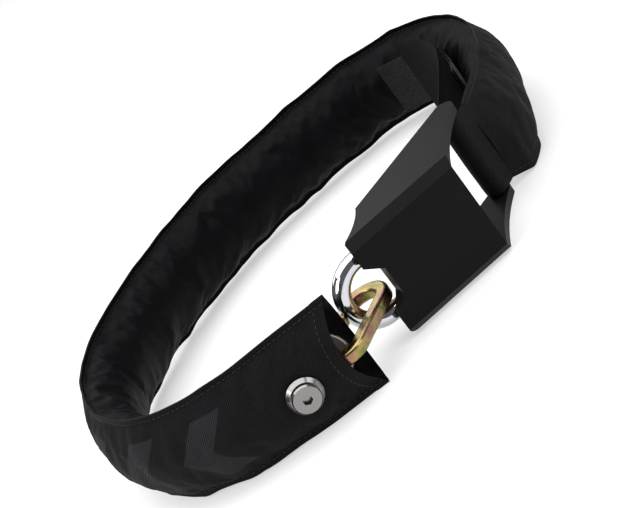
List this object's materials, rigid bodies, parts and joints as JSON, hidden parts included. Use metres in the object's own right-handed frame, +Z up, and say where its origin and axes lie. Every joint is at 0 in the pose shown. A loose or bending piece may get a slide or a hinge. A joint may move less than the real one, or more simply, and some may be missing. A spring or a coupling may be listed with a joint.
{
  "type": "chain lock",
  "caption": "Wearable chain lock: a fabric-sleeved square-link chain closed into a ring by a buckle that holds a small shackle lock.",
  "frame": {"origin": "on the floor under the middle of the ring, which stands on its lower edge", "axes": "+Z up along the ring's axis, +X from the sleeve's open mouth towards the buckle, +Y towards the back of the ring"},
  "size_m": [0.3254, 0.308, 0.064],
  "materials": {
    "chain": "case-hardened, zinc plated",
    "zinc_link": "yellow-passivated zinc",
    "woven_fabric": "woven nylon, matt with a slight sheen",
    "satin_lining": "smooth satin nylon",
    "hook_and_loop": "hook and loop tape",
    "buckle_plastic": "fine-textured moulded nylon",
    "chrome": "polished",
    "steel": "machined",
    "brass": "machined"
  },
  "bodies": {
    "back_left": {"chain_back_left": "chain", "woven_back_left": "woven_fabric", "lining_back_left": "satin_lining"},
    "back_right": {"chain_back_right": "chain", "woven_back_right": "woven_fabric", "lining_back_right": "satin_lining"},
    "right": {"chain_right": "chain", "woven_right": "woven_fabric", "lining_right": "satin_lining", "sleeve_end": "woven_fabric", "strap": "woven_fabric", "hook_pad": "hook_and_loop", "loop_pad": "hook_and_loop"},
    "front": {"chain_front": "chain", "woven_front": "woven_fabric", "lining_front": "satin_lining", "button_screw": "chrome", "button_washer": "chrome", "button_nut": "chrome", "button_back_washer": "chrome"},
    "buckle": {"buckle_front_shell": "buckle_plastic", "buckle_rear_shell": "buckle_plastic", "lock_body": "steel", "strap_bar": "steel", "shell_screws": "steel", "cylinder_housing": "brass", "plug_clip": "steel"},
    "shackle": {"shackle": "chrome"},
    "end_link": {"end_link": "zinc_link"},
    "heel_bolt": {"heel_bolt": "steel", "heel_bolt_spring": "steel"},
    "toe_bolt": {"toe_bolt": "steel", "toe_bolt_spring": "steel"},
    "cylinder_core": {"key_plug": "brass", "key_discs": "brass", "disc_spacers": "brass", "side_bar": "brass", "cam_spindle": "steel"}
  },
  "joints": [
    {"name": "belt_flex", "type": "hinge", "parent": "back_left", "child": "back_right", "pos_m": [-0.05109, 0.10576, 0], "axis": [0, 0, 1], "range_deg": [-5, 5]},
    {"name": "belt_flex_right", "type": "hinge", "parent": "back_right", "child": "right", "pos_m": [0.09068, 0.1378, 0], "axis": [0, 0, 1], "range_deg": [-6, 6]},
    {"name": "buckle_swing", "type": "hinge", "parent": "right", "child": "buckle", "pos_m": [0.09487, -0.05093, 0], "axis": [0, 0, 1], "range_deg": [-5, 5]},
    {"name": "belt_flex_left", "type": "hinge", "parent": "back_left", "child": "front", "pos_m": [-0.14772, -0.06263, 0], "axis": [0, 0, 1], "range_deg": [-5, 5]},
    {"name": "shackle_lift", "type": "slide", "parent": "buckle", "child": "shackle", "axis": [-0.989, -0.1478, 0], "range_m": [0, 0.012]},
    {"name": "end_link_swing", "type": "hinge", "parent": "front", "child": "end_link", "pos_m": [-0.02913, -0.13371, 0], "axis": [0, 0, 1], "range_deg": [0, 22]},
    {"name": "key_turn", "type": "hinge", "parent": "buckle", "child": "cylinder_core", "pos_m": [0.00613, -0.10733, 0.032], "axis": [0.989, 0.1478, 0], "range_deg": [0, 90]},
    {"name": "heel_bolt_slide", "type": "slide", "parent": "buckle", "child": "heel_bolt", "axis": [0, 0, 1], "range_m": [0, 0.0026], "deforming": ["heel_bolt_spring"]},
    {"name": "toe_bolt_slide", "type": "slide", "parent": "buckle", "child": "toe_bolt", "axis": [0, 0, -1], "range_m": [0, 0.0026], "deforming": ["toe_bolt_spring"]}
  ],
  "couplings": [
    {"joint": "belt_flex_right", "follows": "belt_flex", "ratio": -0.8666},
    {"joint": "buckle_swing", "follows": "belt_flex", "ratio": 0.4533},
    {"joint": "belt_flex_left", "follows": "belt_flex", "ratio": 0.5867},
    {"joint": "end_link_swing", "follows": "shackle_lift", "rad_per_m": 27.402},
    {"joint": "heel_bolt_slide", "follows": "key_turn", "m_per_rad": 0.0015279},
    {"joint": "toe_bolt_slide", "follows": "key_turn", "m_per_rad": 0.0015279}
  ]
}
